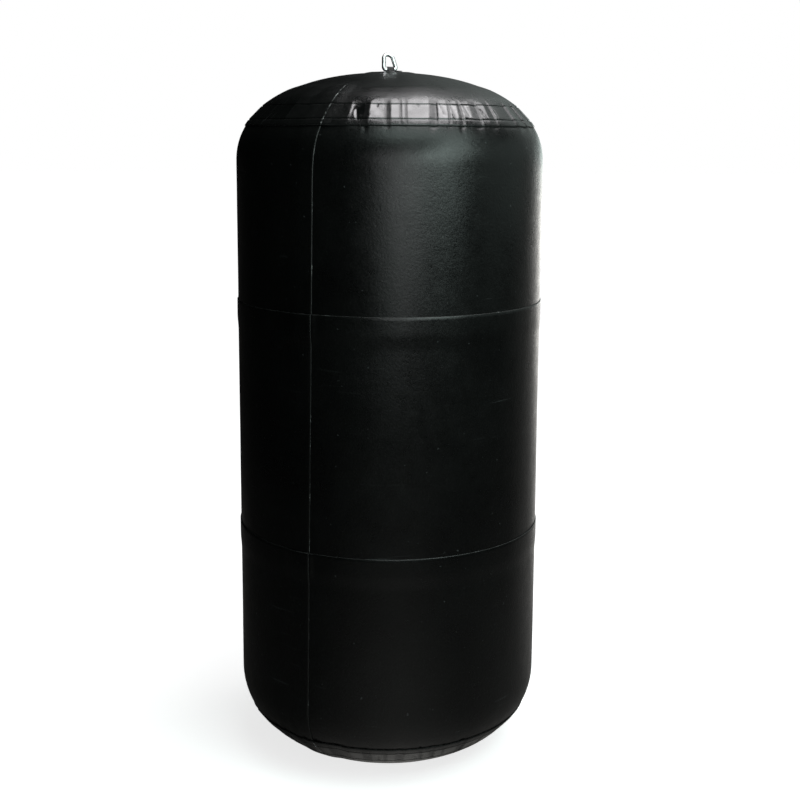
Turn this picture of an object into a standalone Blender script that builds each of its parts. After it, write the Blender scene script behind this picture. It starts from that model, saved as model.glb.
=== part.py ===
"""Inflated cylindrical boat fender, standing upright on its lower end.

Metres, +Z up. The origin is on the floor under the middle of the fender, and its front faces -Y.
The air body is welded up from sheets of coated fabric: three wall sheets, each rolled round and
closed by an upright lap, and two end discs that lap over the gathered ends of the wall.
A ring in a strap stands on the crown, and the inflation valve sits behind it.
"""
from math import acos, asin, atan2, ceil, cos, hypot, pi, radians, sin, tan

import bmesh
import bpy
from mathutils import Matrix, Vector

# Overall size
RADIUS = 0.300
HEIGHT = 1.360

# Fabric, and the step from one ply to the next
FABRIC = 0.0015
CLEARANCE = 0.0003
PLY = FABRIC + CLEARANCE

# Rounded ends: superellipses of revolution
DOME_HEIGHT = 0.172
DOME_POWER = 2.2
FLAT_SPOT_RADIUS = 0.110

# Laps: visible edges of the girth laps, their overlap, and the upright lap
LOWER_GIRTH_EDGE = 0.474
UPPER_GIRTH_EDGE = 0.921
GIRTH_LAP = 0.030
UPRIGHT_LAP = 0.030
UPRIGHT_EDGE_AZIMUTH = radians(-31)
LAP_RAMP = 0.012

# End discs: how far below a dome's crown the disc ends, and the wall fabric hidden under it
DISC_EDGE_DROP = 0.104
WALL_EDGE_DROP = 0.037

# Facets
TURN_STEPS = 44
DOME_STEP = radians(9)
SMALL_STEPS = 32
RING_STEPS = 8

# Ring, its strap and the patch under them
PATCH_RADIUS = 0.050
RING_WIRE = 0.008
RING_BASE_WIDTH = 0.035
RING_TOP_WIDTH = 0.0276
RING_HEIGHT = 0.039
RING_INNER_CORNER = 0.0005
RING_YAW = radians(25)
RING_LEAN = radians(20)
STRAP_SIDE_ROOM = 0.002
STRAP_HALF_LENGTH = 0.040
STRAP_WRAP = radians(130)

# Inflation valve
VALVE_RADIUS = 0.120
VALVE_AZIMUTH = radians(180)
VALVE_SEATING = 0.0017
FLANGE_RADIUS = 0.027
FLANGE_THICKNESS = 0.0035
BARREL_RADIUS = 0.0155
BARREL_DEPTH = 0.026
BORE_RADIUS = 0.0125
NECK_RADIUS = 0.017
NECK_HEIGHT = 0.0085
WEB_TOP = -0.004
WEB_THICKNESS = 0.0025
GUIDE_RADIUS = 0.0027
AIR_HOLES = 6
AIR_HOLE_RADIUS = 0.0023
AIR_HOLE_CIRCLE = 0.0072
GASKET_THICKNESS = 0.002
NUT_RADIUS = 0.026
NUT_THICKNESS = 0.007
NUT_NOTCHES = 6
NUT_NOTCH_RADIUS = 0.003
STEM_RADIUS = 0.0023
BUTTON_RADIUS = 0.0048
BUTTON_TOP = 0.006
BUTTON_THICKNESS = 0.0015
POPPET_RADIUS = 0.0105
POPPET_THICKNESS = 0.0028
SPRING_WIRE = 0.0008
SPRING_RADIUS = 0.0036
SPRING_TURNS = 4.5
CAP_WALL = 0.0022
CAP_TOP = 0.0125
CAP_GRIP_LENGTH = 0.030
CAP_GRIP_WIDTH = 0.005
CAP_GRIP_HEIGHT = 0.0045

RING_CORNER = RING_WIRE / 2 + RING_INNER_CORNER
STRAP_WIDTH = RING_BASE_WIDTH - 2 * RING_WIRE - 2 * STRAP_SIDE_ROOM
WALL_RAMP_ANGLE = LAP_RAMP / RADIUS
LAP_ANGLE = UPRIGHT_LAP / RADIUS


def start_empty():
    """Clears the scene and makes the fender's collection and the cutters' collection."""
    for thing in list(bpy.data.objects):
        bpy.data.objects.remove(thing)
    scene = bpy.context.scene
    for name in ("pneumatic_fender", "cutters"):
        scene.collection.children.link(bpy.data.collections.new(name))


def material(name, colour, roughness, metallic=0.0):
    """A Principled material, made once for each name."""
    if name in bpy.data.materials:
        return bpy.data.materials[name]
    made = bpy.data.materials.new(name)
    made.use_nodes = True
    shader = made.node_tree.nodes["Principled BSDF"]
    shader.inputs["Base Color"].default_value = (*colour, 1)
    shader.inputs["Roughness"].default_value = roughness
    shader.inputs["Metallic"].default_value = metallic
    return made


def coated_fabric():
    return material("black_coated_fabric", (0.012, 0.013, 0.013), 0.42)


def webbing():
    return material("black_strap_fabric", (0.015, 0.015, 0.016), 0.6)


def polished_steel():
    return material("polished_stainless_steel", (0.72, 0.73, 0.74), 0.12, 1.0)


def spring_steel():
    return material("spring_steel", (0.6, 0.6, 0.61), 0.25, 1.0)


def black_plastic():
    return material("black_valve_plastic", (0.02, 0.02, 0.021), 0.35)


def seal_rubber():
    return material("seal_rubber", (0.03, 0.03, 0.03), 0.7)


def add_object(name, data, finish, parent=None):
    """Links a piece to the fender's collection, with its one material."""
    data.materials.append(finish)
    piece = bpy.data.objects.new(name, data)
    bpy.data.collections["pneumatic_fender"].objects.link(piece)
    piece.parent = parent
    return piece


def add_cutter(name, mesh, parent=None):
    """Links a cutting shape, which is drawn as wires and not rendered."""
    cutter = bpy.data.objects.new(name, mesh)
    bpy.data.collections["cutters"].objects.link(cutter)
    cutter.parent = parent
    cutter.display_type = "WIRE"
    cutter.hide_render = True
    return cutter


def add_frame(name, place):
    """An empty that places the pieces parented to it."""
    frame = bpy.data.objects.new(name, None)
    bpy.data.collections["pneumatic_fender"].objects.link(frame)
    frame.matrix_world = place
    frame.empty_display_size = 0.02
    return frame


def cut(piece, cutter):
    difference = piece.modifiers.new("cut " + cutter.name, "BOOLEAN")
    difference.operation = "DIFFERENCE"
    difference.solver = "EXACT"
    difference.object = cutter


def smooth(mesh):
    mesh.shade_smooth()
    mesh.set_sharp_from_angle(angle=radians(35))


# Places on the air body: (radius, height, outward radius, outward height)
def dome_point(angle, top=True):
    """A place on a rounded end, by its angle from the crown (0) to the widest circle (a right angle)."""
    radius = RADIUS * sin(angle) ** (2 / DOME_POWER)
    rise = DOME_HEIGHT * max(cos(angle), 0) ** (2 / DOME_POWER)
    out_radius = radius ** (DOME_POWER - 1) / RADIUS**DOME_POWER
    out_height = rise ** (DOME_POWER - 1) / DOME_HEIGHT**DOME_POWER
    length = hypot(out_radius, out_height)
    if top:
        return radius, HEIGHT - DOME_HEIGHT + rise, out_radius / length, out_height / length
    return radius, lower_rim_height() - rise, out_radius / length, -out_height / length


def lower_rim_height():
    """The widest circle of the lower dome, whose crown is pressed flat on the floor."""
    return DOME_HEIGHT * cos(angle_at_radius(FLAT_SPOT_RADIUS)) ** (2 / DOME_POWER)


def angle_at_radius(radius):
    return asin((radius / RADIUS) ** (DOME_POWER / 2))


def angle_at_drop(drop):
    return acos((1 - drop / DOME_HEIGHT) ** (DOME_POWER / 2))


def stepped(marks, step):
    """The marks, with equal steps between them that are no longer than the given step."""
    steps = [marks[0]]
    for low, high in zip(marks, marks[1:]):
        count = max(1, ceil((high - low) / step - 1e-6))
        steps += [low + (high - low) * k / count for k in range(1, count + 1)]
    return steps


def ramp_before(angle):
    """The dome angle one ramp's length nearer to the crown."""
    return angle_at_radius(dome_point(angle)[0] - LAP_RAMP)


def dome_marks(inner_radius):
    """The angles shared by every sheet on a dome, so that nested plies have matching facets."""
    wall_edge = angle_at_drop(WALL_EDGE_DROP)
    marks = [angle_at_radius(inner_radius), ramp_before(wall_edge), wall_edge, angle_at_drop(DISC_EDGE_DROP), pi / 2]
    return stepped(marks, DOME_STEP)


def turn_angles():
    """Angles round the fender from the upright lap's visible edge, the way its outer ply goes."""
    start = LAP_ANGLE + WALL_RAMP_ANGLE
    end = 2 * pi - WALL_RAMP_ANGLE
    between = [start + (end - start) * k / TURN_STEPS for k in range(TURN_STEPS + 1)]
    return [0, LAP_ANGLE] + between + [2 * pi]


def outer_ply(turn):
    """1 on the upright lap's outer ply, falling to 0 past its hidden end."""
    return min(1, max(0, (LAP_ANGLE + WALL_RAMP_ANGLE - turn) / WALL_RAMP_ANGLE))


def over_upright_lap(turn):
    """1 over a wall sheet's upright lap, falling to 0 on both sides of it."""
    turn = turn % (2 * pi)
    if turn > pi:
        return max(0, (turn - 2 * pi + WALL_RAMP_ANGLE) / WALL_RAMP_ANGLE)
    return outer_ply(turn)


def wall_level(turn, plies):
    """Plies under a rolled wall sheet: its neighbour's, which are doubled at the upright lap, and its own."""
    return plies * (1 + over_upright_lap(turn)) + outer_ply(turn)


def disc_level(turn, plies):
    """Plies under an end disc, which rides over the wall's upright lap."""
    return plies * (1 + over_upright_lap(turn))


def patch_level(turn, plies):
    """Plies under a patch on the crown, where the wall doesn't reach."""
    return plies


def fabric_sheet(name, turns, meridian, level_at):
    """A sheet laid on the air body and given its thickness inwards.

    meridian lists places from top to bottom, each with the number of sheets under it there.
    """
    rows = len(meridian)
    columns = len(turns)
    bm = bmesh.new()
    bmesh.ops.create_grid(bm, x_segments=columns - 1, y_segments=rows - 1, size=1)
    for vertex in bm.verts:
        turn = turns[round((vertex.co.x + 1) / 2 * (columns - 1))]
        (radius, height, out_radius, out_height), plies = meridian[round((vertex.co.y + 1) / 2 * (rows - 1))]
        lift = level_at(turn, plies) * PLY
        radius += out_radius * lift
        azimuth = UPRIGHT_EDGE_AZIMUTH - turn
        vertex.co = (radius * sin(azimuth), -radius * cos(azimuth), height + out_height * lift)
    bmesh.ops.remove_doubles(bm, verts=bm.verts, dist=CLEARANCE / 10)
    bm.normal_update()
    mesh = bpy.data.meshes.new(name)
    middle = Vector((0, 0, HEIGHT / 2))
    if sum((face.calc_center_median() - middle).dot(face.normal) * face.calc_area() for face in bm.faces) < 0:
        bmesh.ops.reverse_faces(bm, faces=bm.faces)
    bm.to_mesh(mesh)
    bm.free()
    smooth(mesh)
    sheet = add_object(name, mesh, coated_fabric())
    thickness = sheet.modifiers.new("fabric thickness", "SOLIDIFY")
    thickness.thickness = FABRIC
    thickness.offset = -1
    thickness.use_even_offset = True
    return sheet


def wall_point(height):
    return RADIUS, height, 1, 0


def lap_over_next(edge):
    """The top of a wall sheet, which steps out over the sheet above it."""
    return [(wall_point(edge), 1), (wall_point(edge - GIRTH_LAP), 1), (wall_point(edge - GIRTH_LAP - LAP_RAMP), 0)]


def make_wall():
    """Three rolled wall sheets: each laps over the one above, and both ends go in under the discs."""
    turns = turn_angles() + [2 * pi + LAP_ANGLE]
    gathered = [angle for angle in dome_marks(PATCH_RADIUS) if angle > angle_at_drop(WALL_EDGE_DROP) - 1e-6]
    top = [(dome_point(angle), 0) for angle in gathered]
    top.append((wall_point(UPPER_GIRTH_EDGE - GIRTH_LAP), 0))
    fabric_sheet("upper_wall_panel", turns, top, wall_level)
    middle = lap_over_next(UPPER_GIRTH_EDGE) + [(wall_point(LOWER_GIRTH_EDGE - GIRTH_LAP), 0)]
    fabric_sheet("middle_wall_panel", turns, middle, wall_level)
    bottom = lap_over_next(LOWER_GIRTH_EDGE)
    bottom += [(dome_point(angle, top=False), 0) for angle in reversed(gathered)]
    fabric_sheet("lower_wall_panel", turns, bottom, wall_level)


def disc_plies(angle):
    """0 on the crown, rising to 1 at the wall's hidden edge."""
    edge = angle_at_drop(WALL_EDGE_DROP)
    start = ramp_before(edge)
    return min(1, max(0, (angle - start) / (edge - start)))


def make_top_disc():
    """The upper end disc, with the hole that the valve's barrel goes through."""
    edge = angle_at_drop(DISC_EDGE_DROP) + 1e-6
    angles = [0] + [angle for angle in dome_marks(PATCH_RADIUS) if angle < edge]
    places = [(dome_point(angle), disc_plies(angle)) for angle in angles]
    disc = fabric_sheet("top_end_disc", turn_angles(), places, disc_level)
    bm = bmesh.new()
    bmesh.ops.create_cone(
        bm, cap_ends=True, segments=SMALL_STEPS, depth=0.03,
        radius1=BARREL_RADIUS + CLEARANCE, radius2=BARREL_RADIUS + CLEARANCE,
    )
    mesh = bpy.data.meshes.new("valve_hole")
    bm.to_mesh(mesh)
    bm.free()
    cut(disc, add_cutter("valve_hole", mesh, bpy.data.objects["valve_frame"]))


def make_bottom_disc():
    """The lower end disc, pressed flat where the fender stands on it."""
    edge = angle_at_drop(DISC_EDGE_DROP) + 1e-6
    flat = [((0, 0, 0, -1), 0)]
    angles = [angle for angle in dome_marks(FLAT_SPOT_RADIUS) if angle < edge]
    curved = [(dome_point(a, top=False), disc_plies(a)) for a in angles]
    fabric_sheet("bottom_end_disc", turn_angles(), flat + curved, disc_level)


def crown_fall():
    """The slope of the crown from its middle to the patch's edge, where its facets are straight."""
    radius, height, _, _ = dome_point(angle_at_radius(PATCH_RADIUS))
    return (HEIGHT - height) / radius


def make_ring_patch():
    """A round patch welded on the crown under the strap."""
    crown = dome_point(0)
    rim = dome_point(angle_at_radius(PATCH_RADIUS))
    fabric_sheet("ring_patch", turn_angles(), [(crown, 1), (rim, 1)], patch_level)


def strap_seat_height():
    """The underside of the strap's tails, on the patch, at the middle of the crown."""
    return HEIGHT + PLY + CLEARANCE


def ring_outline():
    """The middle line of the ring's wire: a straight bar, rounded corners, leaning legs and a round top."""
    top_radius = (RING_TOP_WIDTH - RING_WIRE) / 2
    half_base = (RING_BASE_WIDTH - RING_WIRE) / 2
    top_centre = RING_HEIGHT - RING_WIRE - top_radius
    leg = atan2(half_base - top_radius, top_centre)
    corner_turn = pi / 2 + leg
    corner = Vector((half_base - RING_CORNER / tan((pi - corner_turn) / 2), RING_CORNER))
    right = [corner + RING_CORNER * Vector((sin(turn), -cos(turn)))
             for turn in (corner_turn * k / RING_STEPS for k in range(RING_STEPS + 1))]
    arch = [Vector((0, top_centre)) + top_radius * Vector((cos(turn), sin(turn)))
            for turn in (leg + (pi / 2 - leg) * k / RING_STEPS for k in range(RING_STEPS + 1))]
    half = right + arch
    return half + [Vector((-point.x, point.y)) for point in reversed(half[:-1])]


def tube(name, points, wire, cyclic, finish, parent):
    """A round wire along a run of points."""
    curve = bpy.data.curves.new(name, "CURVE")
    curve.dimensions = "3D"
    curve.bevel_depth = wire / 2
    curve.bevel_resolution = 2
    curve.use_fill_caps = not cyclic
    spline = curve.splines.new("POLY")
    spline.points.add(len(points) - 1)
    for point, place in zip(spline.points, points):
        point.co = (*place, 1)
    spline.use_cyclic_u = cyclic
    return add_object(name, curve, finish, parent)


def make_ring():
    """The ring, with its origin on the middle of its bar, which it swings about in the strap."""
    bar_height = strap_seat_height() + RING_WIRE / 2
    turned = Matrix.Rotation(RING_YAW, 4, "Z") @ Matrix.Rotation(-RING_LEAN, 4, "X")
    pivot = add_frame("ring_pivot", Matrix.Translation((0, 0, bar_height)) @ turned)
    outline = [(point.x, 0, point.y) for point in ring_outline()]
    tube("lifting_ring", outline, RING_WIRE, True, polished_steel(), pivot)


def make_strap():
    """A strip of fabric over the ring's bar, with its two tails welded to the patch."""
    wrap = RING_WIRE / 2 + CLEARANCE
    bar = RING_WIRE / 2
    side = STRAP_WRAP / 2
    arc = [Vector((wrap * sin(turn), bar + wrap * cos(turn)))
           for turn in (side * k / RING_STEPS for k in range(RING_STEPS + 1))]
    foot = arc[-1].x + arc[-1].y / tan(side)
    tail = [Vector((reach, -reach * crown_fall())) for reach in (foot, STRAP_HALF_LENGTH)]
    half = arc + tail
    run = [Vector((-point.x, point.y)) for point in reversed(half[1:])] + half
    bm = bmesh.new()
    bmesh.ops.create_grid(bm, x_segments=len(run) - 1, y_segments=1, size=1)
    for vertex in bm.verts:
        point = run[round((vertex.co.x + 1) / 2 * (len(run) - 1))]
        vertex.co = (vertex.co.y * STRAP_WIDTH / 2, point.x, point.y)
    mesh = bpy.data.meshes.new("ring_strap")
    bm.normal_update()
    if sum(face.normal.z for face in bm.faces) < 0:
        bmesh.ops.reverse_faces(bm, faces=bm.faces)
    bm.to_mesh(mesh)
    bm.free()
    smooth(mesh)
    strap = add_object("ring_strap", mesh, webbing())
    strap.location.z = strap_seat_height()
    strap.rotation_euler.z = RING_YAW
    thickness = strap.modifiers.new("strap thickness", "SOLIDIFY")
    thickness.thickness = FABRIC
    thickness.offset = 1
    thickness.use_even_offset = True


def turned(name, profile, finish, parent, closed=True):
    """A turned piece from the (radius, height) points of its profile, which runs down its outer side."""
    mesh = bpy.data.meshes.new(name)
    edges = [(k, k + 1) for k in range(len(profile) - 1)]
    if closed:
        edges.append((len(profile) - 1, 0))
    mesh.from_pydata([(radius, 0, height) for radius, height in profile], edges, [])
    piece = add_object(name, mesh, finish, parent)
    screw = piece.modifiers.new("turn", "SCREW")
    screw.steps = SMALL_STEPS
    screw.render_steps = SMALL_STEPS
    screw.use_merge_vertices = True
    screw.merge_threshold = 0.00001
    screw.use_smooth_shade = True
    return piece


def upright_cutters(name, count, radius, circle, low, high, parent):
    """One cutting mesh of upright rods spaced round a circle."""
    bm = bmesh.new()
    for k in range(count):
        azimuth = 2 * pi * k / count
        place = Matrix.Translation((circle * cos(azimuth), circle * sin(azimuth), (low + high) / 2))
        bmesh.ops.create_cone(bm, cap_ends=True, segments=10, radius1=radius, radius2=radius,
                              depth=high - low, matrix=place)
    mesh = bpy.data.meshes.new(name)
    bm.to_mesh(mesh)
    bm.free()
    return add_cutter(name, mesh, parent)


def valve_place():
    """The valve's frame on the upper disc, with its axis square to the dome."""
    radius, height, out_radius, _ = dome_point(angle_at_radius(VALVE_RADIUS))
    tilt = asin(out_radius)
    spot = Vector((radius * sin(VALVE_AZIMUTH), -radius * cos(VALVE_AZIMUTH), height))
    return Matrix.Translation(spot) @ Matrix.Rotation(VALVE_AZIMUTH, 4, "Z") @ Matrix.Rotation(tilt, 4, "X")


def make_valve_body(frame):
    """Flange, neck and barrel in one, with a web across the bore that carries the stem."""
    web_bottom = WEB_TOP - WEB_THICKNESS
    flange_top = CLEARANCE + FLANGE_THICKNESS
    chamfer = FLANGE_THICKNESS / 2
    profile = [
        (NECK_RADIUS, NECK_HEIGHT), (NECK_RADIUS, flange_top), (FLANGE_RADIUS - chamfer, flange_top),
        (FLANGE_RADIUS, flange_top - chamfer), (FLANGE_RADIUS, CLEARANCE), (BARREL_RADIUS, CLEARANCE),
        (BARREL_RADIUS, -BARREL_DEPTH), (BORE_RADIUS, -BARREL_DEPTH), (BORE_RADIUS, web_bottom),
        (GUIDE_RADIUS, web_bottom), (GUIDE_RADIUS, WEB_TOP), (BORE_RADIUS, WEB_TOP), (BORE_RADIUS, NECK_HEIGHT),
    ]
    body = turned("valve_body", profile, black_plastic(), frame)
    holes = upright_cutters("air_holes", AIR_HOLES, AIR_HOLE_RADIUS, AIR_HOLE_CIRCLE,
                            web_bottom - WEB_THICKNESS, WEB_TOP + WEB_THICKNESS, frame)
    cut(body, holes)


def make_valve_clamp(frame):
    """The gasket and the notched nut that clamp the fabric from inside."""
    bore = BARREL_RADIUS + CLEARANCE
    gasket_top = -FABRIC - VALVE_SEATING
    gasket_bottom = gasket_top - GASKET_THICKNESS
    ring = [(NUT_RADIUS, gasket_top), (NUT_RADIUS, gasket_bottom), (bore, gasket_bottom), (bore, gasket_top)]
    turned("valve_gasket", ring, seal_rubber(), frame)
    nut_top = gasket_bottom - CLEARANCE
    nut_bottom = nut_top - NUT_THICKNESS
    chamfer = NUT_THICKNESS / 4
    profile = [
        (NUT_RADIUS, nut_top), (NUT_RADIUS, nut_bottom + chamfer), (NUT_RADIUS - chamfer, nut_bottom),
        (bore, nut_bottom), (bore, nut_top),
    ]
    nut = turned("valve_nut", profile, black_plastic(), frame)
    notches = upright_cutters("nut_notches", NUT_NOTCHES, NUT_NOTCH_RADIUS, NUT_RADIUS,
                              nut_bottom - NUT_THICKNESS, nut_top + NUT_THICKNESS, frame)
    cut(nut, notches)


def make_poppet(frame):
    """Button, stem and sealing disc, pushed in to let air out."""
    button_bottom = BUTTON_TOP - BUTTON_THICKNESS
    disc_top = WEB_TOP - WEB_THICKNESS - CLEARANCE
    disc_bottom = disc_top - POPPET_THICKNESS
    profile = [
        (0, BUTTON_TOP), (BUTTON_RADIUS, BUTTON_TOP), (BUTTON_RADIUS, button_bottom), (STEM_RADIUS, button_bottom),
        (STEM_RADIUS, disc_top), (POPPET_RADIUS, disc_top), (POPPET_RADIUS, disc_bottom), (0, disc_bottom),
    ]
    turned("valve_poppet", profile, black_plastic(), frame, closed=False)


def make_spring(frame):
    """A coil between the web and the button's underside."""
    low = WEB_TOP + SPRING_WIRE / 2 + CLEARANCE
    high = BUTTON_TOP - BUTTON_THICKNESS - SPRING_WIRE / 2 - CLEARANCE
    count = ceil(SPRING_TURNS * 12)
    points = []
    for k in range(count + 1):
        turn = 2 * pi * SPRING_TURNS * k / count
        height = low + (high - low) * k / count
        points.append((SPRING_RADIUS * cos(turn), SPRING_RADIUS * sin(turn), height))
    tube("valve_spring", points, SPRING_WIRE, False, spring_steel(), frame)


def make_cap(frame):
    """A cup over the neck with a bar across its top to turn it by."""
    inner = NECK_RADIUS + CLEARANCE
    outer = inner + CAP_WALL
    skirt = CLEARANCE + FLANGE_THICKNESS + CLEARANCE
    ceiling = CAP_TOP - CAP_WALL
    chamfer = CAP_WALL / 2
    profile = [
        (0, CAP_TOP), (outer - chamfer, CAP_TOP), (outer, CAP_TOP - chamfer), (outer, skirt),
        (inner, skirt), (inner, ceiling), (0, ceiling),
    ]
    cap = turned("valve_cap", profile, black_plastic(), frame, closed=False)
    bm = bmesh.new()
    sunk = CAP_WALL / 2
    size = Vector((CAP_GRIP_LENGTH, CAP_GRIP_WIDTH, CAP_GRIP_HEIGHT + sunk))
    place = Matrix.Translation((0, 0, CAP_TOP + (CAP_GRIP_HEIGHT - sunk) / 2))
    bmesh.ops.create_cube(bm, size=1, matrix=place @ Matrix.Diagonal((*size, 1)))
    upright = [edge for edge in bm.edges if abs((edge.verts[0].co - edge.verts[1].co).normalized().z) > 0.9]
    bmesh.ops.bevel(bm, geom=upright, offset=CAP_GRIP_WIDTH * 0.4, segments=3, affect="EDGES", profile=0.5)
    mesh = bpy.data.meshes.new("cap_grip")
    bm.to_mesh(mesh)
    bm.free()
    joined = cap.modifiers.new("grip bar", "BOOLEAN")
    joined.operation = "UNION"
    joined.solver = "EXACT"
    joined.object = add_cutter("cap_grip", mesh, frame)


def make_valve():
    frame = bpy.data.objects["valve_frame"]
    make_valve_body(frame)
    make_valve_clamp(frame)
    make_poppet(frame)
    make_spring(frame)
    make_cap(frame)


def main():
    start_empty()
    add_frame("valve_frame", valve_place())
    make_wall()
    make_top_disc()
    make_bottom_disc()
    make_ring_patch()
    make_strap()
    make_ring()
    make_valve()


main()
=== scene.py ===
"""The inflated boat fender as it looks: welded black fabric, lap seams, lifting ring and inflation valve.

Metres, +Z up, front towards -Y. Sheets of cloth replace the fender's plain solids. They lie on the same
outline and are cut at the same edges. They add the weld lines, puckers and folds that the solids leave out.
"""

from bisect import bisect_right
from math import asin, atan2, ceil, cos, degrees, exp, hypot, pi, radians, sin, tan
from random import Random

import bmesh
import bpy
from mathutils import Matrix, Quaternion, Vector, noise


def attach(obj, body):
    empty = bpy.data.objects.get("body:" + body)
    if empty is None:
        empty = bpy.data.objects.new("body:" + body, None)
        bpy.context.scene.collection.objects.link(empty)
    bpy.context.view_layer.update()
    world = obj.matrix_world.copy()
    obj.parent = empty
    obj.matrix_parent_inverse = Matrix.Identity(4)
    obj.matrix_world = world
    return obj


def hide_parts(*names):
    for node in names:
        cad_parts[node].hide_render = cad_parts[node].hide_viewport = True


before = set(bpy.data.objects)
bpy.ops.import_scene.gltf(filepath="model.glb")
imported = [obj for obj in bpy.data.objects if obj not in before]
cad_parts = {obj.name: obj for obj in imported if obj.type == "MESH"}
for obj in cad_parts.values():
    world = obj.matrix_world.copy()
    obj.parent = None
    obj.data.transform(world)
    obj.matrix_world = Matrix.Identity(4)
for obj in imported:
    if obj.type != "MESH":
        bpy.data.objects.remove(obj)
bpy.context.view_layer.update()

# Size, as the solids have it
RADIUS = 0.300
HEIGHT = 1.360
FABRIC = 0.0015
CLEARANCE = 0.0003
PLY = FABRIC + CLEARANCE
DOME_HEIGHT = 0.172
DOME_POWER = 2.2
FLAT_SPOT_RADIUS = 0.110
LOWER_GIRTH_EDGE = 0.474
UPPER_GIRTH_EDGE = 0.921
GIRTH_LAP = 0.030
UPRIGHT_LAP = 0.030
UPRIGHT_EDGE_AZIMUTH = radians(-31)
LAP_RAMP = 0.012
HIDDEN_EDGE_RAMP = 0.034
DISC_EDGE_DROP = 0.104
WALL_EDGE_DROP = 0.037
HIDDEN_RAMP_ANGLE = HIDDEN_EDGE_RAMP / RADIUS
EDGE_RAMP_ANGLE = LAP_RAMP / RADIUS
LAP_ANGLE = UPRIGHT_LAP / RADIUS
WHOLE_TURN = 2 * pi

# Ring, strap and patch
PATCH_RADIUS = 0.050
RING_WIRE = 0.008
RING_BASE_WIDTH = 0.035
RING_TOP_WIDTH = 0.0276
RING_HEIGHT = 0.039
RING_CORNER = 0.0045
RING_YAW = radians(25)
RING_LEAN = radians(20)
STRAP_WIDTH = 0.015
STRAP_HALF_LENGTH = 0.040
STRAP_WRAP = radians(130)

# Inflation valve
VALVE_RADIUS = 0.120
VALVE_AZIMUTH = radians(180)
FLANGE_RADIUS = 0.027
FLANGE_THICKNESS = 0.0035
BARREL_RADIUS = 0.0155
BARREL_DEPTH = 0.026
BORE_RADIUS = 0.0125
NECK_RADIUS = 0.017
NECK_HEIGHT = 0.0085
CAP_WALL = 0.0022
CAP_TOP = 0.0125
CAP_GRIP_LENGTH = 0.030
CAP_GRIP_WIDTH = 0.005
CAP_GRIP_HEIGHT = 0.0045
CAP_RIBS = 36

# A sheet's outer face slopes down to its cut edge: (distance in from the edge, drop)
CUT_EDGE = ((0.0, 0.0014), (0.0003, 0.0009), (0.0007, 0.0003), (0.0012, 0.0))
CUT_EDGE_WIDTH = CUT_EDGE[-1][0]
RAW_WIDTH = 0.0005
WALL_EDGE_PALENESS = 0.035

# How many degrees the sheets' upright seam lies to the right of the solids' one: at its middle, more for each
# metre up, and more on the shoulder
SEAM_SHIFT = 3.3
SEAM_LEAN = 3
SHOULDER_LEAN = 1.8

# Weld band of an end disc: its two pressed lines lie this far from the crown, with a pressed strip above the
# high one, and the band sags inwards between them
HIGH_WELD_DROP = 0.0665
LOW_WELD_DROP = 0.0926
LINE_DEPTH = 0.0008
STRIP_WIDTH = 0.033
BAND_RADIUS = 0.260
BAND_SAG = 0.00095

# Pads between those lines, the gaps that part them and the folds across them; the widths of the pads' sides
# and of the folds are in degrees
PAD_TILT = 0.00035
PAD_LEAN = 0.85
PAD_SIDE = 0.45
DEEPEST_GAP = 0.0022
GAP_SLOPE = 0.25
FOLD_DEPTH = 0.0009
FOLD_WIDTH = 0.38

# Puckers of the gathered wall below the disc's edge, and how far the wall dips under the disc
GATHER_DEPTH = 0.0013
GATHER_LENGTH = 0.022
TUCK_DEPTH = 0.0025

# Pads of the upper band that face the front, in degrees to the right of it
FRONT_PADS = (
    (-15.6, -9.8), (-7.9, -2.0), (0.4, 3.7), (4.7, 5.9), (6.7, 15.4), (19.0, 23.0), (24.0, 27.6),
    (29.6, 33.8), (38.2, 41.8), (46.0, 47.8), (58.4, 60.2), (67.0, 68.6), (76.5, 80.5),
)
FIRST_PAD = FRONT_PADS[0][0]
# Hollow and tilt of the first two
FIRST_PAD_SHAPES = ((2.6, -2.8), (1.1, -2.0))
# Folds across those pads: (degrees to the right, lean in degrees, upper end, lower end), where the ends go
# from -1 at the high weld line to 1 at the low one
FRONT_FOLDS = (
    (-12.6, 0.8, -0.2, 1.0), (10.9, 0.1, -1.0, -0.5), (21.0, 1.2, -1.0, 0.5), (25.4, 0.9, -1.0, 0.9),
    (31.6, 1.0, -1.0, 0.6), (39.6, 1.4, -0.4, 1.0), (69.0, 1.5, -1.0, 1.0), (-5.2, -0.5, -1.0, -0.6),
)
# How far round from the upright seam, to the left and past the back, the finely meshed front starts
FRONT_TURN = radians(246)

# A soft crease across the front below the upper girth lap: height, first and last degree, depth
CREASE = (0.8653, 2.0, 21.0, 0.0004)


def smoothed(value):
    """0 up to 0, 1 from 1, with soft ends."""
    value = min(1.0, max(0.0, value))
    return value * value * (3 - 2 * value)


def ridge(offset, width):
    """1 at no offset, falling off as a bell."""
    return exp(-((offset / width) ** 2))


# The outline that the cloth lies on
def angle_at_radius(radius):
    """The angle from the crown at which a rounded end has a radius."""
    return asin((radius / RADIUS) ** (DOME_POWER / 2))


def lower_rim_height():
    """The height at which the lower rounded end meets the wall."""
    return DOME_HEIGHT * cos(angle_at_radius(FLAT_SPOT_RADIUS)) ** (2 / DOME_POWER)


def crown_drop(reach):
    """How far the upper crown has dropped at a distance from the axis."""
    return DOME_HEIGHT * (1 - (1 - (reach / RADIUS) ** DOME_POWER) ** (1 / DOME_POWER))


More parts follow.
